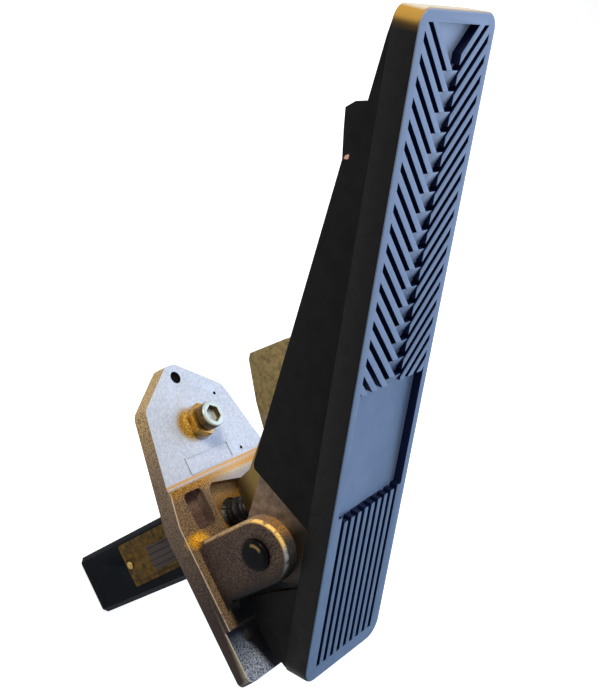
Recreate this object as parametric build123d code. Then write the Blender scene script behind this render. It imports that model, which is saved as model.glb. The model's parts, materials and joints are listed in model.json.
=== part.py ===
from build123d import *
import math
import os

# Foot pedal valve: a long treadle hinged on a cast flange, over a hydraulic pilot valve.
# Millimetres. X runs from the heel to the toe along the flange, Y along the hinge pin,
# Z up from the flange's mounting face. The origin is midway between the two heel bolts.

# Flange
HEEL_BOLT_TO_VALVE = 58.0
VALVE_TO_TOE_BOLT = 80.0
HEEL_BOLT_SPAN = 66.0
BOLT_HOLE_R = 3.3
BOLT_SEAT_R = 7.5
FLANGE_T = 9.0
HUB_RISE = 1.6
HUB_SLOPE = 3.7
CAST_DRAFT = 5.0
DIMPLE_R = 0.8
DIMPLE_W = 22.4
RAISED_LINE = 0.8
RAISED_H = 0.3
SHELF_DROP = 1.8
FLANGE_HALF_W = 47.0
SHOULDER_HALF_W = 31.5
TOE_TIP = 7.4
SHOULDER_BACK = 12.0
TAPER_END = 6.0
HEEL_EDGE = 21.0
HUB_TOE_END = 26.2
HUB_HEEL_END = 51.0
POCKET_DEPTH = 5.4
POCKET_INNER = 21.0
POCKET_OUTER = 35.0
WELL_HALF_W = 16.5
WELL_HEEL_HALF_W = 13.0

# Ears and hinge
PIVOT_BACK = 22.0
PIVOT_H = 46.0
EAR_HALF_GAP = 33.0
EAR_T = 8.6
EAR_R = 17.0
EAR_ROOT_R = 5.0
EAR_RIM_R = 3.0
PIN_R = 6.0
PIN_HEAD_R = 8.2
PIN_HEAD_T = 3.2
PIN_FIT = 0.03
CLIP_T = 1.2
BUSH_R = 8.0
BUSH_FLANGE_R = 11.0
BUSH_FLANGE_T = 1.5
BUSH_LENGTH = 16.0
HUB_R = 14.0
SIDE_GAP = 0.1

# Treadle and pad, in the treadle's own frame: S along it from the pin to the toe, H out of its face
TREADLE_ANGLE = 43.4
FACE_H = 34.2
PAD_T = 12.8
PAD_TOE = 262.0
PAD_HEEL = 64.3
PAD_HALF_W = 34.4
PAD_TOE_R = 8.0
PAD_HEEL_R = 10.0
PAD_LIP = 2.5
PLATE_T = 3.0
SEAT_GAP = 0.1
SKIRT_T = 4.0
SKIRT_INSET = 1.0

# Tread pattern
BORDER = 5.55
GROOVE_DEPTH = 4.5
CHEVRON_TOP = 5.7
CHEVRON_PITCH = 8.82
CHEVRON_COUNT = 18
FIRST_TIP = 9.1
CHEVRON_END = 92.3
GROOVE_RUN = 3.96
ARM_INNER = 4.1
CELL_RIGHT = 6.2
PANEL_END = 29.5
SLOT_COUNT = 9
SLOT_PITCH = 6.0
SLOT_W = 2.8
SLOT_TOP = 26.5
SLOT_BOTTOM = 55.6

# Lever
LEVER_HALF_W = 29.0
CHEEK_T = 6.0
PLATFORM_T = 6.0
PLATFORM_HEEL = 14.7
PLATFORM_TOE = 62.0
ARM_TOE = 112.0
ARM_HALF_W = 12.0
SCREW_SPACING = 36.0
SCREW_HEEL = 2.0
SCREW_TOE = 50.0
WEB_HALF_T = 3.6
NOSE_HALF_T = 4.5
CAM_RISE = 3.0
CAM_GAP = 0.3

# Stop screw
STOP_TO_VALVE = 52.6
STOP_BOSS_R = 10.0
STOP_BOSS_TOP_R = 8.2
STOP_BOSS_H = 1.8
NUT_AF = 13.0
NUT_T = 4.6
SCREW_R = 4.0
STOP_THREAD_SHOWN = 1.7
STOP_HEAD_R = 7.4
STOP_HEAD_T = 5.7
STOP_SOCKET_AF = 8.4
STOP_SOCKET_DEPTH = 3.5

# Valve
PLUNGER_TOP = 17.0
PLUNGER_R = 5.0
PLUNGER_HEAD_R = 4.6
PLUNGER_HEAD_T = 3.0
BODY_HALF_X = 17.0
BODY_HALF_Y = 22.0
BODY_BOTTOM = 106.0
BODY_CHAMFER = 2.6
FOOT_HALF_X = 31.0
FOOT_HALF_Y = 28.0
FOOT_T = 12.0
GASKET_T = 0.8
BODY_SCREW_X = 25.0
BODY_SCREW_Y = 20.0
BODY_SCREW_R = 3.0
BODY_SCREW_HEAD_R = 5.0
BODY_SCREW_HEAD_T = 6.0
BODY_SCREW_SOCKET_AF = 5.0
BODY_SCREW_DEPTH = 6.6
BODY_EDGE_R = 2.0
PLATE_W = 25.0
PLATE_LOW = 68.0
PLATE_HIGH = 16.0
PLATE_THICK = 0.8
RING_R = 12.0
RING_WIRE = 0.93
GUIDE_R = 12.95
GUIDE_NECK_R = 8.9
GUIDE_NECK_TOP = 1.0
GUIDE_LENGTH = 18.0
CHAMBER_R = 10.5
CHAMBER_END = 58.0
SPOOL_R = 4.0
PORT_R = 5.9
PORT_DEPTH = 12.0
PORT_T_Z = 44.0
PORT_P_Z = 76.0
RUN_FIT = 0.03

valve_x = HEEL_BOLT_TO_VALVE
pivot_x = valve_x - PIVOT_BACK
toe_bolt_x = valve_x + VALVE_TO_TOE_BOLT
stop_x = valve_x + STOP_TO_VALVE
hub_top = FLANGE_T + HUB_RISE
well_floor = FLANGE_T - POCKET_DEPTH
pad_base_h = FACE_H - PAD_T
plate_top_h = pad_base_h + PLATE_T
skirt_y = PAD_HALF_W - SKIRT_INSET
treadle_frame = Pos(pivot_x, 0, PIVOT_H) * Rot(0, -TREADLE_ANGLE, 0)
parts = {}


def cylinder(radius, z0, z1, x=0.0, y=0.0):
    """Upright cylinder between two heights."""
    return Pos(x, y, (z0 + z1) / 2) * Cylinder(radius, abs(z1 - z0))


def cross_cylinder(radius, y0, y1, x=0.0, z=0.0):
    """Cylinder along Y between two places."""
    return Pos(x, (y0 + y1) / 2, z) * Rot(90, 0, 0) * Cylinder(radius, abs(y1 - y0))


def block(x0, x1, y0, y1, z0, z1):
    """Box between two corners."""
    return Pos((x0 + x1) / 2, (y0 + y1) / 2, (z0 + z1) / 2) * Box(x1 - x0, y1 - y0, z1 - z0)


def side_plate(points, y0, y1):
    """A side profile in X and Z, carried from y0 to y1."""
    face = Plane.XZ.offset(-y0) * make_face(Polyline(*points, close=True))
    return extrude(face, amount=-(y1 - y0))


def plan_prism(points, z0, z1):
    """A plan outline in X and Y, carried from z0 to z1."""
    face = Pos(0, 0, z0) * make_face(Polyline(*points, close=True))
    return extrude(face, amount=z1 - z0)


def hexagon(across_flats, z0, z1, x=0.0, y=0.0):
    """Upright hexagonal prism."""
    face = Pos(x, y, z0) * RegularPolygon(across_flats / 2, 6, major_radius=False)
    return extrude(face, amount=z1 - z0)


def on_treadle(s, h):
    """World X and Z of a place in the treadle's own frame."""
    angle = math.radians(TREADLE_ANGLE)
    x = pivot_x + s * math.cos(angle) - h * math.sin(angle)
    z = PIVOT_H + s * math.sin(angle) + h * math.cos(angle)
    return (x, z)


def upright_edges(solid, pick):
    """The solid's edges along Z whose centre passes the test."""
    return [e for e in solid.edges().filter_by(Axis.Z) if pick(e.center())]


# Mounting flange: one casting, with ears, stop boss, pockets and bolt seats
toe_tip_x = toe_bolt_x + TOE_TIP
shoulder_x = toe_bolt_x - SHOULDER_BACK
taper_x = valve_x + TAPER_END
outline = [
    (-HEEL_EDGE, -FLANGE_HALF_W),
    (taper_x, -FLANGE_HALF_W),
    (shoulder_x, -SHOULDER_HALF_W),
    (toe_tip_x, -TOE_TIP / 2),
    (toe_tip_x, TOE_TIP / 2),
    (shoulder_x, SHOULDER_HALF_W),
    (taper_x, FLANGE_HALF_W),
    (-HEEL_EDGE, FLANGE_HALF_W),
]
plate = Pos(0, 0, FLANGE_T) * extrude(make_face(Polyline(*outline, close=True)), amount=-FLANGE_T, taper=-CAST_DRAFT)
corners = plate.edges().filter_by(lambda e: abs(e.center().Z - FLANGE_T / 2) < 0.5)
plate = fillet([e for e in corners if e.center().X > toe_tip_x - 2], 6.0)
corners = plate.edges().filter_by(lambda e: abs(e.center().Z - FLANGE_T / 2) < 0.5)
plate = fillet([e for e in corners if abs(e.center().X - shoulder_x) < 3], 9.0)
corners = plate.edges().filter_by(lambda e: abs(e.center().Z - FLANGE_T / 2) < 0.5)
plate = fillet([e for e in corners if e.center().X < 2 - HEEL_EDGE], 4.0)
hub_edge_w = FLANGE_HALF_W - (FLANGE_HALF_W - SHOULDER_HALF_W) * (HUB_TOE_END - TAPER_END) / (
    VALVE_TO_TOE_BOLT - SHOULDER_BACK - TAPER_END
)
hub_outline = [
    (valve_x - HUB_HEEL_END, -FLANGE_HALF_W),
    (taper_x, -FLANGE_HALF_W),
    (valve_x + HUB_TOE_END, -hub_edge_w),
    (valve_x + HUB_TOE_END, hub_edge_w),
    (taper_x, FLANGE_HALF_W),
    (valve_x - HUB_HEEL_END, FLANGE_HALF_W),
]
hub = plan_prism(hub_outline, FLANGE_T - 1, hub_top)
slope = [
    (valve_x + HUB_TOE_END - HUB_SLOPE, hub_top + 1),
    (valve_x + HUB_TOE_END - HUB_SLOPE, hub_top),
    (valve_x + HUB_TOE_END, FLANGE_T),
    (valve_x + HUB_TOE_END + 1, FLANGE_T),
    (valve_x + HUB_TOE_END + 1, hub_top + 1),
]
hub -= side_plate(slope, -FLANGE_HALF_W, FLANGE_HALF_W)
ear_profile = Pos(pivot_x, PIVOT_H + 1) * Circle(EAR_R) + Pos(pivot_x, (PIVOT_H + 1 + FLANGE_T) / 2) * Rectangle(
    2 * EAR_R, PIVOT_H + 1 - FLANGE_T
)
flange = plate + hub
for side in (-1, 1):
    outer = EAR_HALF_GAP + EAR_T
    ear = extrude(Plane.XZ.offset(-outer if side > 0 else EAR_HALF_GAP) * ear_profile, amount=EAR_T)
    ear = fillet(ear.faces().sort_by(Axis.Y)[-1 if side > 0 else 0].edges().filter_by(
        lambda e: e.center().Z > hub_top + 4), EAR_RIM_R)
    root = Pos(pivot_x, hub_top + EAR_ROOT_R / 2 - 0.5) * Rectangle(2 * (EAR_R + EAR_ROOT_R), EAR_ROOT_R + 1)
    for end in (-1, 1):
        root -= Pos(pivot_x + end * (EAR_R + EAR_ROOT_R), hub_top + EAR_ROOT_R) * Circle(EAR_ROOT_R)
    inner_y, outer_y = sorted((side * EAR_HALF_GAP, side * (EAR_HALF_GAP + EAR_T)))
    flange += ear + extrude(Plane.XZ.offset(-inner_y) * root, amount=-EAR_T)
    pin_bore = cross_cylinder(PIN_R + PIN_FIT, inner_y - 1, outer_y + 1, pivot_x, PIVOT_H)
    flange -= pin_bore
    pocket_y0, pocket_y1 = sorted((side * POCKET_INNER, side * POCKET_OUTER))
    pocket = block(valve_x + 0.2, valve_x + 20.5, pocket_y0, pocket_y1, well_floor, hub_top + 1)
    flange -= fillet(pocket.edges().filter_by(Axis.Z), 3.0)
    for end in (-1, 1):
        flange -= cylinder(BODY_SCREW_R + RUN_FIT, -1, BODY_SCREW_DEPTH + 0.5, valve_x + end * BODY_SCREW_X,
                           side * BODY_SCREW_Y)
    seat_z = FLANGE_T - SHELF_DROP
    flange -= cylinder(BOLT_HOLE_R, -1, hub_top + 1, 0, side * HEEL_BOLT_SPAN / 2)
    flange -= cylinder(BOLT_SEAT_R, seat_z, hub_top + 1, 0, side * HEEL_BOLT_SPAN / 2)
well = block(valve_x - 18, valve_x + 20, -WELL_HALF_W, WELL_HALF_W, well_floor, hub_top + 1)
flange -= fillet(well.edges().filter_by(Axis.Z), 6.0)
well = block(valve_x - 40, valve_x, -WELL_HEEL_HALF_W, WELL_HEEL_HALF_W, well_floor, hub_top + 1)
flange -= fillet(well.edges().filter_by(Axis.Z), 6.0)
flange -= block(-HEEL_EDGE - 1, valve_x - HUB_HEEL_END, -FLANGE_HALF_W - 1, FLANGE_HALF_W + 1,
                FLANGE_T - SHELF_DROP, hub_top + 1)
flange -= cylinder(GUIDE_NECK_R + 0.1, -1, FLANGE_T, valve_x)
flange -= cylinder(BOLT_HOLE_R, -1, FLANGE_T + 1, toe_bolt_x)
boss_top = FLANGE_T + STOP_BOSS_H
stop_boss = Pos(stop_x, 0, FLANGE_T + STOP_BOSS_H / 2) * Cone(STOP_BOSS_R, STOP_BOSS_TOP_R, STOP_BOSS_H)
flange += stop_boss
flange -= cylinder(SCREW_R + RUN_FIT, -1, boss_top + 1, stop_x)
for x in (valve_x + 64.6, valve_x + 30.9):
    flange -= cylinder(DIMPLE_R, FLANGE_T - 1, FLANGE_T + 1, x, -DIMPLE_W)
frame_low = valve_x + HUB_TOE_END + 1.5
frame_x0, frame_x1 = frame_low, frame_low + 10.0
raised = block(frame_x0, frame_x1, -14, 21, FLANGE_T - 0.5, FLANGE_T + RAISED_H)
raised -= block(frame_x0 + RAISED_LINE, frame_x1 - RAISED_LINE, RAISED_LINE - 14, 21 - RAISED_LINE, FLANGE_T - 1, FLANGE_T + 1)
flange += raised
parts["mounting_flange"] = flange

# Stop screw and its locknut on the boss
nut_top = boss_top + NUT_T
stop_nut = hexagon(NUT_AF, boss_top, nut_top, stop_x) - cylinder(SCREW_R + RUN_FIT, boss_top - 1, nut_top + 1, stop_x)
parts["stop_screw_nut"] = stop_nut
head_low = nut_top + STOP_THREAD_SHOWN
stop_top = head_low + STOP_HEAD_T
stop_head = cylinder(STOP_HEAD_R, head_low, stop_top, stop_x)
stop_head = chamfer(stop_head.edges().group_by(Axis.Z)[-1], 0.8)
stop_head -= hexagon(STOP_SOCKET_AF, stop_top - STOP_SOCKET_DEPTH, stop_top + 1, stop_x)
parts["stop_screw"] = stop_head + cylinder(SCREW_R, 1.0, head_low, stop_x)

# Valve body: block with a foot, stepped bore, and threaded ports
gasket_z = -GASKET_T
body_top = gasket_z
foot_bottom = body_top - FOOT_T
body = block(valve_x - BODY_HALF_X, valve_x + BODY_HALF_X, -BODY_HALF_Y, BODY_HALF_Y, -BODY_BOTTOM, body_top)
body = chamfer(body.edges().filter_by(Axis.Z), BODY_CHAMFER)
body = fillet(body.faces().sort_by(Axis.Z)[0].edges(), BODY_EDGE_R)
foot = block(valve_x - FOOT_HALF_X, valve_x + FOOT_HALF_X, -FOOT_HALF_Y, FOOT_HALF_Y, foot_bottom, body_top)
foot = fillet(foot.edges().filter_by(Axis.Z), 5.0)
body += foot
guide_end = body_top - GUIDE_LENGTH
chamber_end = body_top - CHAMBER_END
port_a_top = -BODY_BOTTOM + PORT_DEPTH
body -= cylinder(GUIDE_R + 0.03, guide_end, body_top + 1, valve_x)
body -= cylinder(CHAMBER_R, chamber_end, guide_end + 1, valve_x)
body -= cylinder(SPOOL_R + RUN_FIT, port_a_top - 1, chamber_end + 1, valve_x)
body -= cylinder(PORT_R, -BODY_BOTTOM - 1, port_a_top, valve_x)
for port_z in (-PORT_T_Z, -PORT_P_Z):
    body -= cross_cylinder(PORT_R, -BODY_HALF_Y - 1, -BODY_HALF_Y + PORT_DEPTH, valve_x, port_z)
    body -= cross_cylinder(2.5, -BODY_HALF_Y + 1, 0, valve_x, port_z)
for dx in (-1, 1):
    for dy in (-1, 1):
        body -= cylinder(BODY_SCREW_R + RUN_FIT, foot_bottom - 1, body_top + 1,
                         valve_x + dx * BODY_SCREW_X, dy * BODY_SCREW_Y)
parts["valve_body"] = body

gasket = block(valve_x - FOOT_HALF_X, valve_x + FOOT_HALF_X, -FOOT_HALF_Y, FOOT_HALF_Y, gasket_z, 0)
gasket = fillet(gasket.edges().filter_by(Axis.Z), 5.0)
gasket -= cylinder(GUIDE_R + 0.3, gasket_z - 1, 1, valve_x)
screws = []
for dx in (-1, 1):
    for dy in (-1, 1):
        sx = valve_x + dx * BODY_SCREW_X
        sy = dy * BODY_SCREW_Y
        gasket -= cylinder(BODY_SCREW_R + 0.3, gasket_z - 1, 1, sx, sy)
        head_low = foot_bottom - BODY_SCREW_HEAD_T
        screw = cylinder(BODY_SCREW_HEAD_R, head_low, foot_bottom, sx, sy)
        screw -= hexagon(BODY_SCREW_SOCKET_AF, head_low - 1, head_low + 3, sx, sy)
        screws.append(screw + cylinder(BODY_SCREW_R, foot_bottom, BODY_SCREW_DEPTH, sx, sy))
parts["body_gasket"] = gasket
parts["body_screws"] = Compound(children=screws)

# Nameplate on the body's near side, left plain, with two rivets
plate_x0 = valve_x - PLATE_W / 2
plate_x1 = valve_x + PLATE_W / 2
plate_z0 = -PLATE_LOW
plate_z1 = -PLATE_HIGH
plate_t = PLATE_THICK
rivet_z = (plate_z0 + 3.5, plate_z1 - 3.5)
nameplate = block(plate_x0, plate_x1, BODY_HALF_Y, BODY_HALF_Y + plate_t, plate_z0, plate_z1)
nameplate = fillet(nameplate.edges().filter_by(Axis.Y), 1.5)
rivets = []
for z in rivet_z:
    hole = cross_cylinder(1.3, BODY_HALF_Y - 4, BODY_HALF_Y + 5, valve_x, z)
    nameplate -= hole
    parts["valve_body"] -= cross_cylinder(1.3, BODY_HALF_Y - 4, BODY_HALF_Y + 5, valve_x, z)
    shank = cross_cylinder(1.25, BODY_HALF_Y - 3.5, BODY_HALF_Y + plate_t, valve_x, z)
    rivets.append(shank + cross_cylinder(2.2, BODY_HALF_Y + plate_t, BODY_HALF_Y + plate_t + 0.7, valve_x, z))
parts["nameplate"] = nameplate
parts["nameplate_rivets"] = Compound(children=rivets)

# Plunger guide, its O-ring and wiper seal
neck_top = GUIDE_NECK_TOP
guide = cylinder(GUIDE_R, guide_end + 0.05, body_top + GASKET_T - 0.05, valve_x)
guide += cylinder(GUIDE_NECK_R, -0.1, neck_top, valve_x)
guide -= cylinder(PLUNGER_R + RUN_FIT, guide_end - 1, neck_top + 1, valve_x)
seal_z0 = neck_top - 2.8
guide -= cylinder(PLUNGER_R + 2.0, seal_z0, neck_top + 1, valve_x)
ring_z = body_top - 9.0
groove = cylinder(GUIDE_R + 1, ring_z - 1.2, ring_z + 1.2, valve_x) - cylinder(RING_R - 1, ring_z - 1.2, ring_z + 1.2, valve_x)
guide -= groove
parts["plunger_guide"] = guide
seal = cylinder(PLUNGER_R + 1.95, seal_z0 + 0.02, neck_top - 0.1, valve_x)
parts["wiper_seal"] = seal - cylinder(PLUNGER_R + 0.06, seal_z0 - 1, neck_top + 1, valve_x)
parts["guide_o_ring"] = Pos(valve_x, 0, ring_z) * Torus(RING_R, RING_WIRE)

# Plunger, spring seat, spool and springs
plunger = cylinder(PLUNGER_R, guide_end - 2, PLUNGER_TOP - PLUNGER_HEAD_T, valve_x)
head = cylinder(PLUNGER_HEAD_R, PLUNGER_TOP - PLUNGER_HEAD_T, PLUNGER_TOP, valve_x)
plunger += chamfer(head.edges().group_by(Axis.Z)[-1], 0.8)
parts["plunger"] = plunger
seat_top = guide_end - 2
seat = cylinder(CHAMBER_R - 0.4, seat_top - 3, seat_top, valve_x) + cylinder(4.2, seat_top - 6, seat_top - 3, valve_x)
parts["spring_seat"] = seat
spool_top = chamber_end + 8
spool = cylinder(SPOOL_R, port_a_top + 4, spool_top, valve_x) + cylinder(7.0, spool_top, spool_top + 2, valve_x)
spool += cylinder(4.2, spool_top + 2, spool_top + 5, valve_x)
for z in (-PORT_P_Z, -PORT_P_Z + 9):
    spool -= cylinder(SPOOL_R + 1, z - 2.5, z + 2.5, valve_x) - cylinder(2.6, z - 2.5, z + 2.5, valve_x)
parts["control_spool"] = spool


def coil(radius, wire_r, z0, z1, turns):
    """A wound spring between two heights, its ends just clear of what it bears on."""
    low = z0 + wire_r + 0.05
    high = z1 - wire_r - 0.05
    path = Helix(pitch=(high - low) / turns, height=high - low, radius=radius)
    section = Plane(origin=path @ 0, z_dir=path % 0) * Circle(wire_r)
    return Pos(valve_x, 0, low) * sweep(section, path=path)


parts["return_spring"] = coil(8.9, 0.9, chamber_end, seat_top - 3, 6)
parts["control_spring"] = coil(5.4, 0.7, spool_top + 2, seat_top - 3, 6)

# Rubber boot: two convolutions between the guide's neck and the plunger head
boot_z0 = neck_top + 0.02
boot_top = PLUNGER_TOP - PLUNGER_HEAD_T - 0.1
boot_in = PLUNGER_R + 0.15
boot_out = GUIDE_NECK_R - 0.1
outer_pts = [
    (boot_out, boot_z0),
    (boot_out, well_floor - 0.8),
    (boot_in + 1.3, well_floor + 0.8),
    (boot_in + 2.5, well_floor + 2.6),
    (boot_in + 1.3, well_floor + 4.6),
    (boot_in + 2.3, well_floor + 6.4),
    (boot_in + 1.2, well_floor + 8.2),
    (boot_in + 1.2, boot_top),
    (boot_in, boot_top),
    (boot_in, well_floor + 8.2),
    (boot_in + 1.1, well_floor + 6.4),
    (boot_in + 0.1, well_floor + 4.6),
    (boot_in + 1.3, well_floor + 2.6),
    (boot_in + 0.1, well_floor + 0.8),
    (boot_in + 1.6, well_floor - 1.2),
    (boot_in + 1.6, boot_z0),
]
profile = make_face(Polyline(*[Plane.XZ.from_local_coords((r, zz, 0)) for r, zz in outer_pts], close=True))
parts["plunger_boot"] = Pos(valve_x, 0, 0) * revolve(profile, Axis.Z)

# Hinge pin with a domed head on the near side and a circlip on the far side
ear_outer = EAR_HALF_GAP + EAR_T
pin_end = -ear_outer - 4
pin = cross_cylinder(PIN_R, pin_end, ear_outer, pivot_x, PIVOT_H)
pin_head = cross_cylinder(PIN_HEAD_R, ear_outer, ear_outer + PIN_HEAD_T, pivot_x, PIVOT_H)
pin_head = fillet(pin_head.edges().group_by(Axis.Y)[-1], PIN_HEAD_T * 0.7)
clip_y = -ear_outer - 0.1
groove_r = PIN_R - 0.8
pin += pin_head
pin -= cross_cylinder(PIN_R + 1, clip_y - CLIP_T - 0.1, clip_y, pivot_x, PIVOT_H) - cross_cylinder(
    groove_r, clip_y - CLIP_T - 0.1, clip_y, pivot_x, PIVOT_H)
parts["hinge_pin"] = pin
clip = cross_cylinder(PIN_R + 3, clip_y - CLIP_T - 0.05, clip_y - 0.05, pivot_x, PIVOT_H)
clip -= cross_cylinder(groove_r + PIN_FIT, clip_y - CLIP_T - 1, clip_y + 1, pivot_x, PIVOT_H)
clip -= block(pivot_x - 2.5, pivot_x + 2.5, clip_y - CLIP_T - 1, clip_y + 1, PIVOT_H - PIN_R - 4, PIVOT_H)
parts["pin_circlip"] = clip

# Lever, in the treadle's frame: platform, two cheeks, hub round the pin, and the middle web
platform_top = pad_base_h - SEAT_GAP
platform_low = platform_top - PLATFORM_T
platform = block(-PLATFORM_HEEL, ARM_TOE, -LEVER_HALF_W, LEVER_HALF_W, platform_low, platform_top)
platform -= block(PLATFORM_TOE, ARM_TOE + 1, -LEVER_HALF_W - 1, -ARM_HALF_W, platform_low - 1, platform_top + 1)
platform -= block(PLATFORM_TOE, ARM_TOE + 1, ARM_HALF_W, LEVER_HALF_W + 1, platform_low - 1, platform_top + 1)
cheek_pts = [
    (-14.7, platform_top),
    (34, platform_top),
    (60, platform_top),
    (34.2, -13.0),
    (6.0, -17.2),
    (-12.5, -9),
    (-17.5, 4),
]
lever = platform
for side in (-1, 1):
    y0, y1 = sorted((side * (LEVER_HALF_W - CHEEK_T), side * LEVER_HALF_W))
    lever += side_plate(cheek_pts, y0, y1)
bush_outer = EAR_HALF_GAP - SIDE_GAP
hub_half = bush_outer - BUSH_FLANGE_T
lever += cross_cylinder(HUB_R, -hub_half, hub_half)
lever_world = treadle_frame * lever
cam_x = valve_x
cam_z = PIVOT_H + CAM_RISE
cam_r = cam_z - PLUNGER_TOP - CAM_GAP
nose_pts = []
for i in range(9):
    angle = math.radians(-106 + i * 44 / 8)
    nose_pts.append((cam_x + cam_r * math.cos(angle), cam_z + cam_r * math.sin(angle)))
nose_pts += [(valve_x + 22, 58), (valve_x - 4, 60), (pivot_x, PIVOT_H + 8), (pivot_x, PIVOT_H - 10)]
lever_world += side_plate(nose_pts, -NOSE_HALF_T, NOSE_HALF_T)
web_top_toe = on_treadle(ARM_TOE - 2, platform_low + 1)
web_top_heel = on_treadle(10, platform_low + 1)
web_pts = [
    (valve_x + 16.2, 30),
    (valve_x + 32, 52.5),
    (valve_x + 45.9, 56.2),
    (valve_x + 64.5, 63.6),
    (valve_x + 66.9, 66.2),
    (valve_x + 63.6, 91.0),
]
web_pts += [web_top_toe, web_top_heel, (pivot_x + 4, PIVOT_H + 6)]
lever_world += side_plate(web_pts, -WEB_HALF_T, WEB_HALF_T)
bush_bore = cross_cylinder(BUSH_R + PIN_FIT, -hub_half - 1, hub_half + 1, pivot_x, PIVOT_H)
lever_world -= bush_bore
screw_y = SCREW_SPACING / 2
screw_places = [(SCREW_HEEL, -screw_y), (SCREW_HEEL, screw_y), (SCREW_TOE, -screw_y), (SCREW_TOE, screw_y)]
for s, y in screw_places:
    lever_world -= treadle_frame * cylinder(2.55, platform_low - 4, platform_top + 1, s, y)
parts["pedal_lever"] = lever_world

# Flanged bushes in the hub's two ends
for name, side in (("hinge_bush_near", 1), ("hinge_bush_far", -1)):
    inner, outer = hub_half - BUSH_LENGTH, hub_half
    tube_y = sorted((side * inner, side * outer))
    rim_y = sorted((side * outer, side * bush_outer))
    bush = cross_cylinder(BUSH_R, tube_y[0], tube_y[1], pivot_x, PIVOT_H)
    bush += cross_cylinder(BUSH_FLANGE_R, rim_y[0], rim_y[1], pivot_x, PIVOT_H)
    bush -= cross_cylinder(PIN_R + PIN_FIT, -bush_outer - 1, bush_outer + 1, pivot_x, PIVOT_H)
    parts[name] = bush

# Treadle body, in its own frame: top plate, side skirts with the hinge notch, toe and heel walls
skirt_line = [
    (257.5, pad_base_h),
    (249.0, 19.6),
    (221.5, 15.6),
    (220.4, 9.8),
    (217.0, 5.3),
    (208.0, 6.1),
    (195.4, 7.7),
    (40.5, -15.2),
    (38.0, -14.4),
    (19.2, pad_base_h),
]
heel_line = [
    (-12.7, pad_base_h),
    (-22.0, 6.5),
    (-30.0, -3.8),
    (-45.5, 2.6),
    (-52.0, 9.0),
    (-59.0, pad_base_h),
]
treadle = block(-PAD_HEEL + PAD_LIP + 0.2, PAD_TOE - PAD_LIP - 0.2, -PAD_HALF_W + PAD_LIP + 0.2,
                PAD_HALF_W - PAD_LIP - 0.2, pad_base_h, plate_top_h)
treadle = fillet(treadle.edges().filter_by(Axis.Z), PAD_TOE_R - PAD_LIP)
for side in (-1, 1):
    y0, y1 = sorted((side * (skirt_y - SKIRT_T), side * skirt_y))
    treadle += side_plate(skirt_line, y0, y1)
    treadle += side_plate(heel_line, y0, y1)
inner_y = skirt_y - SKIRT_T
toe_wall = [(221.5, pad_base_h), (221.5, 15.6), (220.4, 9.8), (217.0, 5.3), (213.5, 7), (216, 11), (217, pad_base_h)]
treadle += side_plate(toe_wall, -inner_y, inner_y)
heel_wall = [(-45.5, 2.6), (-52.0, 9.0), (-59.0, pad_base_h), (-54.5, pad_base_h), (-48.6, 11.3), (-42.5, 5.4)]
treadle += side_plate(heel_wall, -inner_y, inner_y)
for s, y in screw_places:
    treadle -= cylinder(2.75, pad_base_h - 1, plate_top_h + 1, s, y)
    treadle -= Pos(s, y, plate_top_h - 1.25) * Cone(2.75, 5.3, 2.5)
parts["treadle"] = treadle_frame * treadle

# Countersunk screws that hold the treadle on the lever
fixings = []
for s, y in screw_places:
    cone = Pos(s, y, plate_top_h - 1.3) * Cone(2.6, 5.1, 2.4)
    cone -= hexagon(3.0, plate_top_h - 1.8, plate_top_h + 1, s, y)
    fixings.append(treadle_frame * (cone + cylinder(2.5, platform_low - 2, plate_top_h - 2.4, s, y)))
parts["treadle_screws"] = Compound(children=fixings)

# Rubber tread pad: block with a lip round the plate, and the moulded tread
pad = block(-PAD_HEEL, PAD_TOE, -PAD_HALF_W, PAD_HALF_W, pad_base_h + SEAT_GAP, FACE_H)
pad = fillet(upright_edges(pad, lambda c: c.X > 0), PAD_TOE_R)
pad = fillet(upright_edges(pad, lambda c: c.X < 0), PAD_HEEL_R)
pad = fillet(pad.faces().sort_by(Axis.Z)[-1].edges(), 1.2)
pocket = block(-PAD_HEEL + PAD_LIP, PAD_TOE - PAD_LIP, -PAD_HALF_W + PAD_LIP, PAD_HALF_W - PAD_LIP,
               pad_base_h - 1, plate_top_h + SEAT_GAP)
pad -= fillet(pocket.edges().filter_by(Axis.Z), PAD_TOE_R - PAD_LIP - 0.2)
floor_h = FACE_H - GROOVE_DEPTH
tread_half_w = PAD_HALF_W - BORDER
zone_top = PAD_TOE - CHEVRON_TOP
arm_drop = tread_half_w - ARM_INNER
cutters = []
for k in range(-1, CHEVRON_COUNT + 3):
    tip = PAD_TOE - FIRST_TIP - CHEVRON_PITCH * k
    level = tip - arm_drop
    near_groove = [(tip, tread_half_w), (tip - GROOVE_RUN, tread_half_w), (level, ARM_INNER + GROOVE_RUN), (level, ARM_INNER)]
    open_level = tip - (tread_half_w - CELL_RIGHT)
    far_groove = [
        (tip, -tread_half_w),
        (tip - GROOVE_RUN, -tread_half_w),
        (open_level - GROOVE_RUN, -CELL_RIGHT),
        (open_level, -CELL_RIGHT),
    ]
    cutters.append(plan_prism(near_groove, floor_h, FACE_H + 1))
    cutters.append(plan_prism(far_groove, floor_h, FACE_H + 1))
    if k >= -1:
        # A cell in the middle of the V, its floor sloping down toward the heel
        low = level - CHEVRON_PITCH
        rib_edge = ARM_INNER + GROOVE_RUN - CHEVRON_PITCH
        cell = plan_prism([(level, ARM_INNER + GROOVE_RUN), (level, -CELL_RIGHT), (low, -CELL_RIGHT), (low, rib_edge)],
                          floor_h, FACE_H + 1)
        ramp = [(level, FACE_H - 0.2), (low, floor_h), (low, FACE_H + 1), (level, FACE_H + 1)]
        cutters.append(cell & side_plate(ramp, -tread_half_w, tread_half_w))
first_level = PAD_TOE - FIRST_TIP + CHEVRON_PITCH - arm_drop
first_edge = ARM_INNER + GROOVE_RUN - CHEVRON_PITCH
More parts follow.
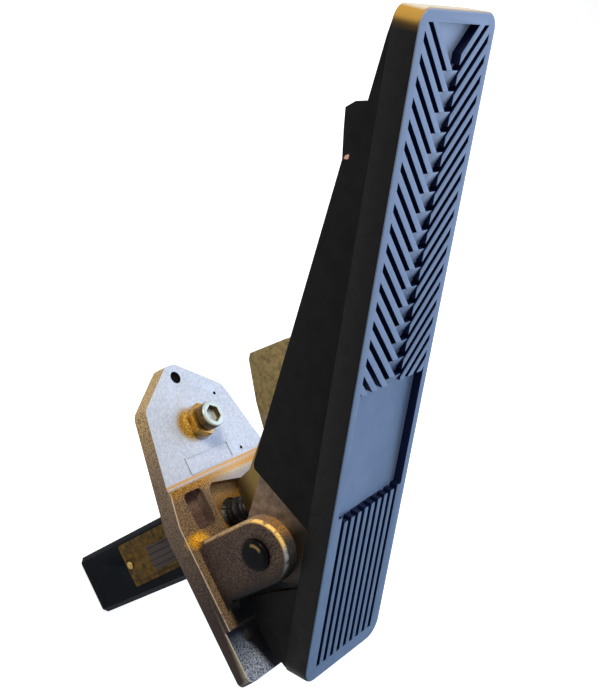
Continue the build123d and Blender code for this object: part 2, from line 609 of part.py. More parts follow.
top_half_w = first_edge + zone_top - first_level
top_cell = [
    (zone_top, top_half_w),
    (zone_top, -top_half_w),
    (zone_top - top_half_w + CELL_RIGHT, -CELL_RIGHT),
    (first_level, -CELL_RIGHT),
    (first_level, first_edge),
]
cutters.append(plan_prism(top_cell, floor_h, FACE_H + 1))
zone = block(CHEVRON_END, zone_top, -tread_half_w, tread_half_w, floor_h - 1, FACE_H + 2)
cutters = [cutter & zone for cutter in cutters]
cutters = [cutter for cutter in cutters if cutter is not None and cutter.volume > 0.5]
cutters.append(block(PANEL_END, CHEVRON_END, -tread_half_w, tread_half_w, floor_h, FACE_H + 1))
for i in range(SLOT_COUNT):
    y = (i - (SLOT_COUNT - 1) / 2) * SLOT_PITCH
    cutters.append(block(-SLOT_BOTTOM, SLOT_TOP, y - SLOT_W / 2, y + SLOT_W / 2, floor_h, FACE_H + 1))
pad -= cutters
parts["tread_pad"] = treadle_frame * pad

os.makedirs("parts", exist_ok=True)
for name, shape in parts.items():
    shape.label = name
    export_step(shape, f"parts/{name}.step")
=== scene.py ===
import bpy
import bmesh
import json
import math
import numpy as np
from mathutils import Matrix, Vector


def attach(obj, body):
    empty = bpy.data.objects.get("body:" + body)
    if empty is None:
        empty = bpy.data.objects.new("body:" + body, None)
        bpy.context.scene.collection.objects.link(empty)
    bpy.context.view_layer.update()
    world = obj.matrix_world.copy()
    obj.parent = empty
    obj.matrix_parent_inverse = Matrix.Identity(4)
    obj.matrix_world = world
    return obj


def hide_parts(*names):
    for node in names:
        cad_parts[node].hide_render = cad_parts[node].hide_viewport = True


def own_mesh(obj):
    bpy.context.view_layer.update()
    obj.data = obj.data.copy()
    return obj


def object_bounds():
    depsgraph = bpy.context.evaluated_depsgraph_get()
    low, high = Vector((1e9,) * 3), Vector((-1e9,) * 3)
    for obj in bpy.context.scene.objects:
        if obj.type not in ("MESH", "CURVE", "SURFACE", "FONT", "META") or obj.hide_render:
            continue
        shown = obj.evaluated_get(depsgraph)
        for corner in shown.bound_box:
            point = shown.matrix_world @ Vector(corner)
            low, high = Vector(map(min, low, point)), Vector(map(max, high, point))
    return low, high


# The CAD frame and its box
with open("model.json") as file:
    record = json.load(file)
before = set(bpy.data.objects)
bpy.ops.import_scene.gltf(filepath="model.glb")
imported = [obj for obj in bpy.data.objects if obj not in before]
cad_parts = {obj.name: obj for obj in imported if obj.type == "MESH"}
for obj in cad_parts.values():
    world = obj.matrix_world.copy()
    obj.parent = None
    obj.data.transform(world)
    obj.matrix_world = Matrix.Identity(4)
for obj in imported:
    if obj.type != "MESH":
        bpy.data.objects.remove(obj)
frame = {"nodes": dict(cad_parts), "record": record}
cad_low, cad_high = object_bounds()
scene = bpy.context.scene

# Valve body: a steel block machined all over, its long edges broken, then sprayed
# with blue-black paint. Its foot hangs under the flange on four screws.

# Lengths on the part are in millimetres, and MM turns them into the scene's metres
MM = 0.001
ROUNDED_FROM = math.radians(35)
SHARP_FROM = math.radians(30)
FLAT_WITHIN = math.radians(1)


def linear(hexcode):
    """A colour written as sRGB hex, as the linear values that a shader takes."""
    parts = np.array([int(hexcode[i:i + 2], 16) for i in (1, 3, 5)]) / 255
    values = np.where(parts <= 0.04045, parts / 12.92, ((parts + 0.055) / 1.055) ** 2.4)
    return (*values, 1.0)


def put(tree, value, socket):
    """Gives an input a value: a socket that feeds it, a hex colour or plain numbers."""
    if isinstance(value, bpy.types.NodeSocket):
        tree.links.new(value, socket)
    else:
        socket.default_value = linear(value) if isinstance(value, str) else value


def add(tree, kind, inputs=None, **settings):
    """Adds a node to a tree. Inputs go by number. The settings are its properties, or
    its inputs by name where no property has that name."""
    node = tree.nodes.new(kind)
    for key, value in settings.items():
        if hasattr(node, key):
            setattr(node, key, value)
        else:
            put(tree, value, node.inputs[key.replace("_", " ")])
    for number, value in (inputs or {}).items():
        put(tree, value, node.inputs[number])
    return node


class Finish:
    """A material whose base colour is laid up in layers. Masks come from where the
    surface lies, in millimetres, with X to the toe, Y to the near side and Z up, and
    from how far it faces those ways."""

    def __init__(self, name, colour):
        self.material = bpy.data.materials.new(name)
        self.material.use_nodes = True
        self.tree = self.material.node_tree
        self.tree.nodes.clear()
        self.shader = add(self.tree, "ShaderNodeBsdfPrincipled", Base_Color=colour)
        add(self.tree, "ShaderNodeOutputMaterial", Surface=self.shader.outputs[0])
        self.colour = colour
        spot = add(self.tree, "ShaderNodeTexCoord").outputs
        self.metres = spot["Object"]
        self.normal = spot["Normal"]
        enlarged = add(self.tree, "ShaderNodeVectorMath", {0: self.metres, 1: (1 / MM, 1 / MM, 1 / MM)},
                       operation="MULTIPLY")
        self.place = enlarged.outputs["Vector"]
        self.x, self.y, self.z = add(self.tree, "ShaderNodeSeparateXYZ", Vector=self.place).outputs
        faces = add(self.tree, "ShaderNodeSeparateXYZ", Vector=self.normal).outputs
        self.toward_toe, self.toward_near, self.upward = faces

    def noise(self, lump, detail=5.0, rough=0.6):
        """Noise whose lumps are about a given size."""
        lumps = add(self.tree, "ShaderNodeTexNoise", Vector=self.metres, Scale=1 / (lump * MM),
                    Detail=detail, Roughness=rough)
        return lumps.outputs["Fac"]

    def ramp(self, value, start, end, low=0.0, high=1.0):
        """A value from low at start to high at end, level outside them."""
        node = add(self.tree, "ShaderNodeMapRange", Value=value, From_Min=start, From_Max=end,
                   To_Min=low, To_Max=high)
        return node.outputs["Result"]

    def over(self, mask, under, colour):
        """A colour laid over another where a mask is 1."""
        layer = add(self.tree, "ShaderNodeMix", {0: mask, 6: under, 7: colour}, data_type="RGBA")
        return layer.outputs[2]

    def lay(self, mask, colour):
        """Lays a colour over the base colour so far."""
        self.colour = self.over(mask, self.colour, colour)
        self.set(Base_Color=self.colour)

    def set(self, **sockets):
        """Sets inputs of the shader by name."""
        for key, value in sockets.items():
            put(self.tree, value, self.shader.inputs[key.replace("_", " ")])


def mottled(name, light, dark, grain, rough, metallic=0.0, bump=0.1, bump_grain=0.6, specular=0.5):
    """A finish whose colour drifts between two values over a grain of some
    millimetres, with a fine bump of its own grain and a roughness that drifts."""
    finish = Finish(name, light)
    cloud = finish.noise(grain, 6.0)
    finish.lay(finish.ramp(cloud, 0.35, 0.65), dark)
    relief = add(finish.tree, "ShaderNodeBump", Height=finish.noise(bump_grain, 3.0), Strength=bump,
                 Distance=0.2 * MM)
    finish.set(Normal=relief.outputs["Normal"], Metallic=metallic, Specular_IOR_Level=specular,
               Roughness=finish.ramp(cloud, 0.0, 1.0, rough * 0.85, rough * 1.15))
    return finish


def weld(mesh):
    """Joins corners that meet and faces that lie in one plane."""
    shell = bmesh.new()
    shell.from_mesh(mesh)
    bmesh.ops.remove_doubles(shell, verts=shell.verts, dist=0.004 * MM)
    bmesh.ops.dissolve_limit(shell, angle_limit=FLAT_WITHIN, verts=shell.verts, edges=shell.edges)
    shell.to_mesh(mesh)
    shell.free()


def keep_with(piece, node):
    """Attaches a piece to the moving body of a CAD node."""
    record = frame["record"]
    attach(piece, next(body for body, nodes in record["behaviour"]["bodies"].items() if node in nodes))


def dressed(node, finish, edge=0.4, segments=3, less=()):
    """The CAD piece as one welded skin with its edges rounded over, less a prism."""
    piece = bpy.data.objects.new(node + "_skin", frame["nodes"][node].data.copy())
    scene.collection.objects.link(piece)
    weld(piece.data)
    if less:
        cut(piece, *less)
        weld(piece.data)
    mesh = piece.data
    mesh.materials.clear()
    mesh.materials.append(finish.material)
    for face in mesh.polygons:
        face.use_smooth = True
    if edge:
        rounding = piece.modifiers.new("edges", "BEVEL")
        rounding.width = edge * MM
        rounding.segments = segments
        rounding.limit_method = "ANGLE"
        rounding.angle_limit = ROUNDED_FROM
        rounding.use_clamp_overlap = True
        rounding.harden_normals = True
    else:
        mesh.set_sharp_from_angle(angle=SHARP_FROM)
    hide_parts(node)
    keep_with(piece, node)
    return piece


body_paint = mottled("sprayed_enamel", "#050D16", "#03070C", 9, 0.5, bump=0.15, bump_grain=0.9,
                     specular=0.03)
block = dressed("valve_body", body_paint, 0.5)

# The block's heel side leans out toward the foot, and its toe side lies further in
BLOCK_TOP = -12.8
BLOCK_BOTTOM = -106
HEEL_OUT = 1.5
HEEL_LEAN = 0.024
TOE_IN = 0.8
for corner in block.data.vertices:
    x, y, z = corner.co / MM
    if z < BLOCK_TOP + 0.1 and 40 < x < 45:
        corner.co.x -= (HEEL_OUT + HEEL_LEAN * (z - BLOCK_BOTTOM)) * MM
    elif z < BLOCK_TOP + 0.1 and 71 < x < 76:
        corner.co.x -= TOE_IN * MM

# Nameplate: thin brass, printed with dark lines and grey fields that run along the
# valve, left bare of words. Two small domed rivets hold it to the block.


def both(finish, *masks):
    """The product of two masks or more."""
    product = masks[0]
    for mask in masks[1:]:
        crossed = add(finish.tree, "ShaderNodeMath", {0: product, 1: mask}, operation="MULTIPLY")
        product = crossed.outputs[0]
    return product


def between(finish, value, low, high, soft):
    """1 where a value lies between two limits, falling to 0 over a soft edge."""
    return both(finish, finish.ramp(value, low - soft, low + soft),
                finish.ramp(value, high + soft, high - soft))


VALVE_X = 58
PRINT_END = -20
plate = mottled("printed_brass", "#644A0C", "#2A1E04", 3, 0.5, metallic=0.1, bump=0.08, specular=0.1)
print_area = both(plate, between(plate, plate.x, VALVE_X - 8.6, VALVE_X + 5.4, 0.1),
                  between(plate, plate.z, -47, PRINT_END, 0.1))
STRIPE_PITCH = 3.4
in_stripe = add(plate.tree, "ShaderNodeMath", {0: plate.x, 1: STRIPE_PITCH}, operation="MODULO").outputs[0]
border_line = both(plate, between(plate, plate.x, VALVE_X - 10.6, VALVE_X - 10.0, 0.1),
                   between(plate, plate.z, -62, PRINT_END, 0.1))
plate.lay(print_area, "#423937")
plate.lay(both(plate, print_area, between(plate, in_stripe, 0.3, 0.95, 0.1)), "#1E1A18")
plate.lay(border_line, "#2A2418")
dressed("nameplate", plate, 0.15)
rivet_metal = mottled("rivet_metal", "#A88C50", "#6A5A38", 2, 0.35, metallic=0.9)
dressed("nameplate_rivets", rivet_metal, 0.3)

# Parts inside the bore: the spool and the seat are ground steel, the plunger is a darker,
# duller steel, the guide is turned bronze with a rubber ring and wiper, and a fibre
# gasket seals the body to the flange.
ground = mottled("ground_steel", "#B4B6B8", "#9A9CA0", 3, 0.25, metallic=1.0, bump=0.03)
bronze = mottled("turned_bronze", "#A07A45", "#84622F", 3, 0.35, metallic=1.0, bump=0.05)
seal_rubber = mottled("seal_rubber", "#141414", "#0A0A0A", 3, 0.5)
fibre = mottled("gasket_fibre", "#4A4A44", "#3A3A36", 1, 0.85)
dulled = mottled("dulled_steel", "#4C4A48", "#343230", 2, 0.4, metallic=0.6, bump=0.05)
dressed("control_spool", ground, 0.25)
dressed("spring_seat", ground, 0.25)
dressed("plunger", dulled, 0.25)
dressed("plunger_guide", bronze, 0.25)
dressed("wiper_seal", seal_rubber, 0)
dressed("guide_o_ring", seal_rubber, 0)
dressed("body_gasket", fibre, 0)

# Mounting flange: one aluminium sand casting, blasted. Its flat top stays silvery with
# a fine speckle. The hub is partly gold, the faces toward the toe are painted gold as lit
# by a warm lamp, and the sides are brown, painted lit toward the toe and shaded darker
# toward the heel.


def away(finish, point, stretch=(1, 1, 1)):
    """The distance from a point, both stretched first along the three axes."""
    stretched = add(finish.tree, "ShaderNodeVectorMath", {0: finish.place, 1: stretch},
                    operation="MULTIPLY")
    centre = [length * factor for length, factor in zip(point, stretch)]
    distance = add(finish.tree, "ShaderNodeVectorMath", {0: stretched.outputs["Vector"], 1: centre},
                   operation="DISTANCE")
    return distance.outputs["Value"]


def prism(outline, low, high):
    """A closed shell that stands on an outline in the XY plane between two heights."""
    shell = bmesh.new()
    foot = shell.faces.new([shell.verts.new(Vector((*corner, low)) * MM) for corner in outline])
    risen = bmesh.ops.extrude_face_region(shell, geom=[foot])["geom"]
    top = [part for part in risen if isinstance(part, bmesh.types.BMVert)]
    bmesh.ops.translate(shell, verts=top, vec=(0, 0, (high - low) * MM))
    bmesh.ops.recalc_face_normals(shell, faces=shell.faces)
    return shell


def object_of(shell, name):
    """An object made of a shell, which is used up."""
    mesh = bpy.data.meshes.new(name)
    shell.to_mesh(mesh)
    shell.free()
    piece = bpy.data.objects.new(name, mesh)
    scene.collection.objects.link(piece)
    return piece


cast = mottled("sand_cast_alloy", "#DCE4F2", "#BECADE", 1.2, 0.55, metallic=0.15, bump=0.5,
               bump_grain=0.5, specular=0.12)
x, y, z = cast.x, cast.y, cast.z
toe_face, upward = cast.toward_toe, cast.upward

# The blasted grain is drawn at 0.7 mm, coarser than the real one, so that it shows
grains = cast.ramp(cast.noise(0.7, 4.0), 0.44, 0.58)
on_top = cast.ramp(z, 9.1, 9.4)
HUB_HEEL = 6
HUB_TOE = 83
EAR_FOOT = 12
EAR_ROOT = (54.5, 39, 11)
SCREW_FOOT = (111, 6, 9)

# The hub's top, silvery lavender on the far side, brown and gold on the near side
hub = both(cast, between(cast, x, HUB_HEEL, HUB_TOE, 1), on_top)
hub_film = cast.over(cast.ramp(x, 76, 80), "#9E9AB0", "#DCCBA6")
hub_film = cast.over(cast.ramp(y, -6, 14), hub_film, "#A08466")
hub_film = cast.over(both(cast, cast.ramp(x, 75, 80), cast.ramp(y, 2, 14)), hub_film, "#D09A3C")
hub_pits = cast.over(cast.ramp(y, -6, 20), "#B4A890", "#4E3E2E")
cast.lay(hub, cast.over(grains, hub_film, hub_pits))

# The slope up to the flat top and the crease along its edge, painted gold as lit from the toe
slope = both(cast, cast.ramp(toe_face, 0.12, 0.3), between(cast, x, 76, 86, 1), cast.ramp(z, 8.4, 9))
cast.lay(slope, "#DC9E42")
crease = both(cast, between(cast, x, 83.8, 85.2, 0.5), cast.ramp(upward, 0.9, 0.97))
cast.lay(crease, "#DCA85C")

# The steep sides, brown, painted lit gold toward the toe and shaded dark toward the heel
side_lit_and_shaded = cast.over(cast.ramp(x, 15, 95), "#3A2E2B", "#8A7868")
side_lit_and_shaded = cast.over(cast.ramp(x, 95, 135), side_lit_and_shaded, "#CCB078")
side_pits = cast.over(cast.ramp(x, 30, 130), "#241C1B", "#74614A")
cast.lay(cast.ramp(upward, 0.85, 0.55), cast.over(grains, side_lit_and_shaded, side_pits))

# The ears: dark pitted skin, darker low down and at the heel end; painted light and highlights on the rim
ear = both(cast, cast.ramp(z, EAR_FOOT - 1.2, EAR_FOOT), between(cast, x, 8, 62, 2))
skin = cast.over(cast.ramp(z, 16, 44), "#4E4038", "#5E4E44")
cast.lay(ear, cast.over(grains, skin, "#2A2220"))
patchy = cast.ramp(cast.noise(2.5, 4.0), 0.36, 0.5)
sideways = add(cast.tree, "ShaderNodeMath", {0: cast.toward_near}, operation="ABSOLUTE").outputs[0]
# The rim is painted gold and brown where it faces the toe, as lit by a warm lamp
rim_painted_light = cast.over(cast.ramp(toe_face, -0.1, 0.4), "#565452", "#A2836A")
rim_painted_light = cast.over(both(cast, between(cast, toe_face, 0.2, 0.75, 0.15), patchy), rim_painted_light, "#C8923E")
rim_pits = cast.over(cast.ramp(toe_face, -0.1, 0.4), "#343232", "#745C44")
cast.lay(both(cast, ear, cast.ramp(sideways, 0.93, 0.75)), cast.over(grains, rim_painted_light, rim_pits))
# Painted highlights on the rim's edge, silver and gold, with painted shade beyond them
edge_highlights = cast.over(cast.ramp(toe_face, -0.8, -0.5), "#2C2624", "#A4AAAE")
edge_highlights = cast.over(cast.ramp(toe_face, -0.25, 0.0), edge_highlights, "#FFD27A")
low_edge = both(cast, cast.ramp(z, 54, 48), cast.ramp(toe_face, 0, 0.1))
edge_highlights = cast.over(low_edge, edge_highlights, "#B09A74")
cast.lay(both(cast, ear, patchy, between(cast, sideways, 0.3, 0.82, 0.1)), edge_highlights)
cast.lay(both(cast, ear, cast.ramp(x, 30, 19)), "#1E1A19")

# A painted gold highlight at the near ear's root, and a painted shadow on the top under the treadle
from_root = away(cast, EAR_ROOT, (1, 0.5, 1))
cast.lay(cast.ramp(from_root, 5.2, 2.2), cast.over(grains, "#FFC038", "#A87C28"))
treadle_shadow = both(cast, between(cast, x, 5, 22, 3), on_top, cast.ramp(y, 43, 39))
cast.lay(treadle_shadow, "#040404")

# The heel's low shelf: pitted and pale at its end, dark where the treadle shades it
shelf = both(cast, cast.ramp(x, 7.4, 6.6), cast.ramp(upward, 0.6, 0.9))
shelf_film = cast.over(cast.ramp(x, -14, 4), "#C4D0E4", "#3A4358")
cast.lay(shelf, cast.over(grains, shelf_film, "#2E3548"))
from_shade = add(cast.tree, "ShaderNodeMath", {0: x, 1: -0.4, 2: y}, operation="MULTIPLY_ADD")
cast.lay(both(cast, shelf, cast.ramp(from_shade.outputs[0], 38.5, 34)), "#14141A")

# The near top edge, drawn bright in a broken line along its rounding
past_taper = cast.ramp(x, 64, 126, 0, 15.5)
near_reach = add(cast.tree, "ShaderNodeMath", {0: past_taper, 1: y}, operation="ADD").outputs[0]
bright_near_edge = both(cast, cast.ramp(near_reach, 46.1, 46.5), cast.ramp(upward, 0.1, 0.4),
            cast.ramp(cast.noise(3), 0.3, 0.42), cast.ramp(x, 84, 78))
cast.lay(bright_near_edge, "#DCD0BC")

# The floors and walls of the plunger's well and, beyond y 20, of the pocket beside it,
# painted lighter toward the toe wall as painted light where they lie in shade
low_floor = both(cast, between(cast, x, HUB_HEEL, 80, 1), between(cast, z, 2, 7.5, 0.8),
                 between(cast, y, -37, 37, 1))
lit_toward_toe = cast.ramp(x, 66, 75)
well_film = cast.over(grains, cast.over(lit_toward_toe, "#94691C", "#C4985A"),
                     cast.over(lit_toward_toe, "#5A3F12", "#84643C"))
pocket_film = cast.over(grains, cast.over(lit_toward_toe, "#7A625A", "#B09488"),
                       cast.over(lit_toward_toe, "#46382F", "#75625A"))
cast.lay(low_floor, cast.over(cast.ramp(y, 19, 21), well_film, pocket_film))

# A painted pool of gold light on the near side of the stop screw's foot, and the dark bores
# of the bolt and pin holes
screw_foot_light = cast.ramp(away(cast, SCREW_FOOT), 10.5, 7)
cast.lay(screw_foot_light, cast.over(grains, "#D8AC48", "#7A5E2E"))
for hole_x, hole_y, radius in ((138, 0, 3.45), (0, 33, 3.45), (0, -33, 3.45),
                               (122.6, -22.4, 1.0), (88.9, -22.4, 1.0)):
    from_hole = away(cast, (hole_x, hole_y, 0), (1, 1, 0))
    cast.lay(cast.ramp(from_hole, radius + 0.12, radius - 0.12), "#0A0A0C")
dressed("mounting_flange", cast, 0.9, 4)

# The slanted wall on the well's toe side
slanted_wall = [(79, 12), (78, 12), (73.7, -10.4), (73, -17), (79, -17)]
WALL_FOOT = 3.5
WALL_TOP = 10.58
ledge = object_of(prism(slanted_wall, WALL_FOOT, WALL_TOP), "well_toe_wall")
ledge.data.materials.append(cast.material)
keep_with(ledge, "mounting_flange")

# Zinc-plated screws: the four under the valve's foot, the stop screw with its locknut,
# and those that hold the treadle. The plating is pale on their tops, and their sides are
# painted yellow-brown as a warm reflection. The locknut is wider than the CAD's.
zinc = mottled("zinc_plate_warm_sides", "#7A5E28", "#453416", 2.5, 0.34, metallic=0.2, bump=0.05,
               specular=0.2)
zinc.lay(zinc.ramp(zinc.upward, 0.35, 0.8), "#C8D6D4")
# The locknut is painted gold on its near faces as lit by a warm lamp, and grey elsewhere
nut_zinc_lit = mottled("nut_zinc_painted_gold", "#E0A83C", "#94702C", 3, 0.34, metallic=0.6, bump=0.05)
nut_zinc_lit.lay(nut_zinc_lit.ramp(nut_zinc_lit.toward_near, 0.1, -0.2), "#7C7058")
dressed("body_screws", zinc, 0.2)
dressed("stop_screw", zinc, 0.35)
nut = dressed("stop_screw_nut", nut_zinc_lit, 0.3)
STOP_SCREW_X = 110.6
NUT_WIDENED = 1.27
nut_axis = Matrix.Translation((STOP_SCREW_X * MM, 0, 0))
nut.data.transform(nut_axis @ Matrix.Diagonal((NUT_WIDENED, NUT_WIDENED, 1, 1)) @ nut_axis.inverted())
dressed("treadle_screws", zinc, 0.15)

# Lever: an iron sand casting with a brown skin of oxide. Its toe arm, behind the
# treadle, is khaki.
iron = mottled("rusty_casting", "#9C8470", "#705C48", 4, 0.55, bump=0.5, bump_grain=0.8, specular=0.3)
x, y, z = iron.x, iron.y, iron.z
khaki = iron.over(iron.ramp(iron.noise(2.2), 0.4, 0.65), "#94814F", "#6A5A36")
iron.lay(iron.ramp(x, 94, 98), khaki)
# The nose, painted cream where it faces the toe as lit by a warm lamp, darker low on its near faces
nose = both(iron, between(iron, x, 40, 92, 2), between(iron, y, -6, 6, 0.5))
iron.lay(both(iron, nose, iron.ramp(iron.toward_toe, 0.3, 0.6)), "#D2BC88")
web_colour = iron.over(iron.ramp(z, 30, 22), "#988450", "#4A3A1C")
near_face = iron.ramp(iron.toward_near, 0.3, 0.6)
iron.lay(both(iron, nose, near_face), web_colour)
# A painted shadow of the near ear on the cheek beside it
iron.lay(both(iron, near_face, iron.ramp(x, 44, 36), iron.ramp(y, 20, 24)), "#2C231A")
lever = dressed("pedal_lever", iron, 0.8, 3)

# The lug's toe end, past 120 mm, is drawn longer along the line of its underside
LUG_END_FROM = 120
LUG_LONGER = Vector((2.3, 0, 0.9))
for corner in lever.data.vertices:
    if corner.co.x > LUG_END_FROM * MM:
        corner.co += LUG_LONGER * MM

# Hinge: bronze bushes with flanges in the lever's hub, on a blackened steel pin with a
# domed head on the near side and a circlip at its far end. The head's rim has a painted
# highlight in one place.


def ragged(finish, distance, lump, depth):
    """A distance made uneven by noise, so that its limit gets a torn outline."""
    torn = add(finish.tree, "ShaderNodeMath", {0: finish.noise(lump), 1: depth, 2: distance},
               operation="MULTIPLY_ADD")
    return torn.outputs[0]


PIVOT = (36, 0, 46)
PIN_HIGHLIGHT_SPOT = (39.4, 44.8, 50)
dressed("hinge_bush_near", bronze, 0.2)
dressed("hinge_bush_far", bronze, 0.2)
pin_black = mottled("black_oxide", "#0A0A10", "#050508", 3, 0.3, specular=0.05)
# A painted highlight on the pin head's rim
painted_highlight = ragged(pin_black, away(pin_black, PIN_HIGHLIGHT_SPOT), 0.9, 2.4)
head_rim = between(pin_black, away(pin_black, PIVOT, (1, 0, 1)), 4.7, 6.3, 0.3)
pin_black.lay(both(pin_black, head_rim, pin_black.ramp(painted_highlight, 5, 3.6)), "#88724A")
dressed("hinge_pin", pin_black, 0.3)
dressed("pin_circlip", pin_black, 0.1)

# Treadle: a black enamelled casting with deep side skirts. A chip on the near skirt's
# edge shows a bright pinkish primer.
CHIP = (172.1, 33.4, 188.4)
enamel = mottled("black_enamel", "#121213", "#0A0A0B", 8, 0.5, bump=0.12, specular=0.06)
from_chip = ragged(enamel, away(enamel, CHIP, (1, 1, 0.65)), 0.8, 1.2)
enamel.lay(enamel.ramp(from_chip, 1.6, 1.3), "#E0B0A0")
dressed("treadle", enamel, 0.6)

# Tread pad: moulded black rubber. Its tread face is blue-grey, partly bleached and partly
# a painted sheen, lighter toward the top, with painted light on its cell floors. Its sides
# are still black, and its toe end has a painted gold highlight and a pale painted highlight
# on its end face. Its heel slots run open onto the bare panel, where the ribs between them
# end in steps.


def along(finish, direction):
    """How far out the surface lies in a direction."""
    reached = add(finish.tree, "ShaderNodeVectorMath", {0: finish.place, 1: direction},
                  operation="DOT_PRODUCT")
    return reached.outputs["Value"]


def facing(finish, direction):
    """How far the surface faces a direction."""
    turned = add(finish.tree, "ShaderNodeVectorMath", {0: finish.normal, 1: direction},
                 operation="DOT_PRODUCT")
    return turned.outputs["Value"]


TREADLE_ANGLE = math.radians(43.4)
ALONG_TREADLE = (math.cos(TREADLE_ANGLE), 0, math.sin(TREADLE_ANGLE))
OUT_OF_TREAD = (-math.sin(TREADLE_ANGLE), 0, math.cos(TREADLE_ANGLE))
GOLD_FROM = 309.5
GOLD_FULL = 315
CELLS_TO = 315
TOE_CELL_FROM = 294.8
TOE_CELL_TO = 314.2
FLOORS_FROM = 38.9
FLOORS_TO = 42.6
rubber = mottled("moulded_rubber", "#131214", "#0C0C0D", 5, 0.55, bump=0.25, specular=0.1)
reach = along(rubber, ALONG_TREADLE)
rise = along(rubber, OUT_OF_TREAD)
toe_facing = facing(rubber, ALONG_TREADLE)
toe_end = rubber.ramp(reach, GOLD_FROM, GOLD_FULL)
# Painted highlights at the toe end: gold on its rounded corner, pale on its end face
rubber.lay(both(rubber, toe_end, rubber.ramp(toe_facing, -0.1, 0.3)), "#B08A40")
rubber.lay(both(rubber, toe_end, rubber.ramp(toe_facing, 0.8, 0.95)), "#D0CCC2")
in_grooves = both(rubber, between(rubber, rubber.y, -30, 30, 0.3),
                  rubber.ramp(reach, CELLS_TO, CELLS_TO - 0.4))
rubber.lay(in_grooves, "#0C1636")
scuff = rubber.ramp(rubber.noise(14, 7.0, 0.65), 0.35, 0.65)
# Bleached blue-grey with a painted sheen, lighter toward the top, with painted light on the cell floors
bleach_and_sheen = rubber.over(scuff, "#7690AE", "#6A84A4")
bleach_and_sheen = rubber.over(rubber.ramp(rubber.z, 30, 250), bleach_and_sheen, "#98AED0")
lit_cell_floors = both(rubber, between(rubber, rise, FLOORS_FROM, FLOORS_TO, 0.1),
                  rubber.ramp(rubber.z, 150, 200))
bleach_and_sheen = rubber.over(lit_cell_floors, bleach_and_sheen, "#B8CCE8")
lit_toe_cell = both(rubber, between(rubber, reach, TOE_CELL_FROM, TOE_CELL_TO, 0.1),
                rubber.ramp(rise, 41.5, 41))
bleach_and_sheen = rubber.over(lit_toe_cell, bleach_and_sheen, "#C8DCF8")
rubber.lay(rubber.ramp(facing(rubber, OUT_OF_TREAD), 0.55, 0.95), bleach_and_sheen)


def cut(piece, outline, low, high, turn):
    """Cuts a prism out of a piece, in axes that a matrix places."""
    cutter = object_of(prism(outline, low, high), "cutter")
    cutter.matrix_world = turn
    taken_out = piece.modifiers.new("taken_out", "BOOLEAN")
    taken_out.object = cutter
    taken_out.solver = "EXACT"
    shape = piece.evaluated_get(bpy.context.evaluated_depsgraph_get())
    result = bpy.data.meshes.new_from_object(shape)
    piece.modifiers.clear()
    piece.data = result
    bpy.data.objects.remove(cutter)


# Measured from the pivot, along the tread and out of it, the CAD's slots end at 26.5
# and the panel starts at 29.5. Both have their floors at 29.7, and the face is at 34.2.
SLOT_PITCH = 6
SLOT_HALF = 1.4
CUT_HEEL = 25
CUT_TOE = 29.9
CUT_FLOOR = 29.7
CUT_TOP = 36
FAR_RIB_END = 28.8
RIB_STEP = 0.37
comb = [(CUT_TOE, 4 * SLOT_PITCH + SLOT_HALF)]
for i in range(4, -5, -1):
    slot_near = i * SLOT_PITCH + SLOT_HALF
    slot_far = i * SLOT_PITCH - SLOT_HALF
    rib_end = FAR_RIB_END - RIB_STEP * (i + 4)
    comb += [(CUT_HEEL, slot_near), (CUT_HEEL, slot_far),
             (rib_end, slot_far), (rib_end, slot_near - SLOT_PITCH)]
comb[-2:] = [(CUT_TOE, slot_far)]
pad_axes = Matrix.Translation([length * MM for length in PIVOT]) @ Matrix.Rotation(-TREADLE_ANGLE, 4, "Y")
dressed("tread_pad", rubber, 0.3, 2, less=(comb, CUT_FLOOR, CUT_TOP, pad_axes))

# Boot and springs, each with a mesh of its own
for node, finish, keep, anchor_z in (("plunger_boot", seal_rubber, 0.21, 1.0),
                                     ("return_spring", ground, 0.701, -58.8),
                                     ("control_spring", ground, 0.581, -48.8)):
    piece = dressed(node, finish, 0)
    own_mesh(piece)

# Floor, lamps and camera, all in metres. The floor is a white sheet under the part,
# lifted toward white where the camera sees it.
bpy.ops.mesh.primitive_plane_add(size=12, location=(0.05, 0, cad_low.z - MM))
floor = bpy.context.object
floor.name = "floor"


def seen(tree):
    """1 for what the camera sees itself, in a mirror or through glass."""
    path = add(tree, "ShaderNodeLightPath").outputs
    mirrored = add(tree, "ShaderNodeMath", {0: path["Is Camera Ray"], 1: path["Is Glossy Ray"]},
                   operation="MAXIMUM")
    through_glass = add(tree, "ShaderNodeMath", {0: mirrored.outputs[0], 1: path["Is Transmission Ray"]},
                        operation="MAXIMUM")
    return through_glass.outputs[0]


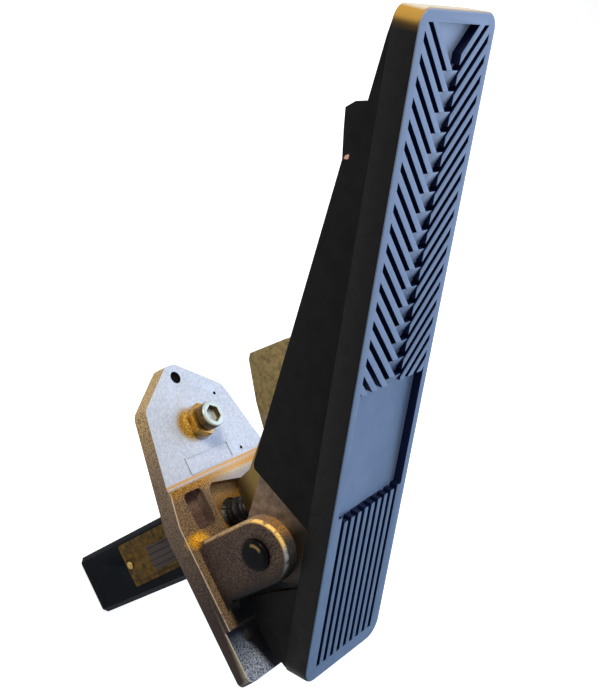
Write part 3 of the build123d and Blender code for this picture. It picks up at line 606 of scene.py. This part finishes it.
white = Finish("studio_white", (0.8, 0.8, 0.8, 1))
lift = add(white.tree, "ShaderNodeMath", {0: seen(white.tree), 1: 0.75}, operation="MULTIPLY")
white.set(Roughness=1.0, Specular_IOR_Level=0.0, Emission_Color=(1, 1, 1, 1),
          Emission_Strength=lift.outputs[0])
floor.data.materials.append(white.material)

# World: white to the camera, dim and bluish as a light
world = bpy.data.worlds.new("studio")
scene.world = world
world.use_nodes = True
tree = world.node_tree
tree.nodes.clear()
room = add(tree, "ShaderNodeBackground", Color="#DCE4F0", Strength=0.3)
blank = add(tree, "ShaderNodeBackground", Color=(1, 1, 1, 1), Strength=1.0)
sky = add(tree, "ShaderNodeMixShader", {0: seen(tree), 1: room.outputs[0], 2: blank.outputs[0]})
add(tree, "ShaderNodeOutputWorld", Surface=sky.outputs[0])


def lamp(name, place, aim, size, power, colour):
    """A soft square lamp at a place, aimed at a point, all in metres."""
    light = bpy.data.lights.new(name, "AREA")
    light.size = size
    light.energy = power
    light.color = linear(colour)[:3]
    holder = bpy.data.objects.new(name, light)
    scene.collection.objects.link(holder)
    holder.location = place
    holder.rotation_euler = (Vector(aim) - Vector(place)).to_track_quat("-Z", "Y").to_euler()


lamp("ceiling_lamp", (0.75, 0.42, 0.82), (0.07, 0, 0.03), 0.35, 9, "#FFF2DC")
lamp("window", (-0.15, -0.9, 0.5), (0.08, 0, 0.08), 1.0, 10, "#D6E4FF")

# Camera, fitted to the photograph's straight edges and square corners
PICTURE_WIDTH = 599
FOCAL_PIXELS = 1094.4
camera_data = bpy.data.cameras.new("camera")
camera = bpy.data.objects.new("camera", camera_data)
scene.collection.objects.link(camera)
camera_data.sensor_fit = "HORIZONTAL"
camera_data.sensor_width = 36
camera_data.lens = FOCAL_PIXELS * camera_data.sensor_width / PICTURE_WIDTH
across = Vector((-0.4484, -0.5791, 0.6809))
upward = Vector((0.8887, -0.2070, 0.4092))
behind = across.cross(upward)
turn = Matrix((across, upward, behind)).transposed().to_4x4()
camera.matrix_world = Matrix.Translation((0.06381, 0.42779, 0.42317)) @ turn
scene.camera = camera
scene.view_settings.view_transform = "Standard"
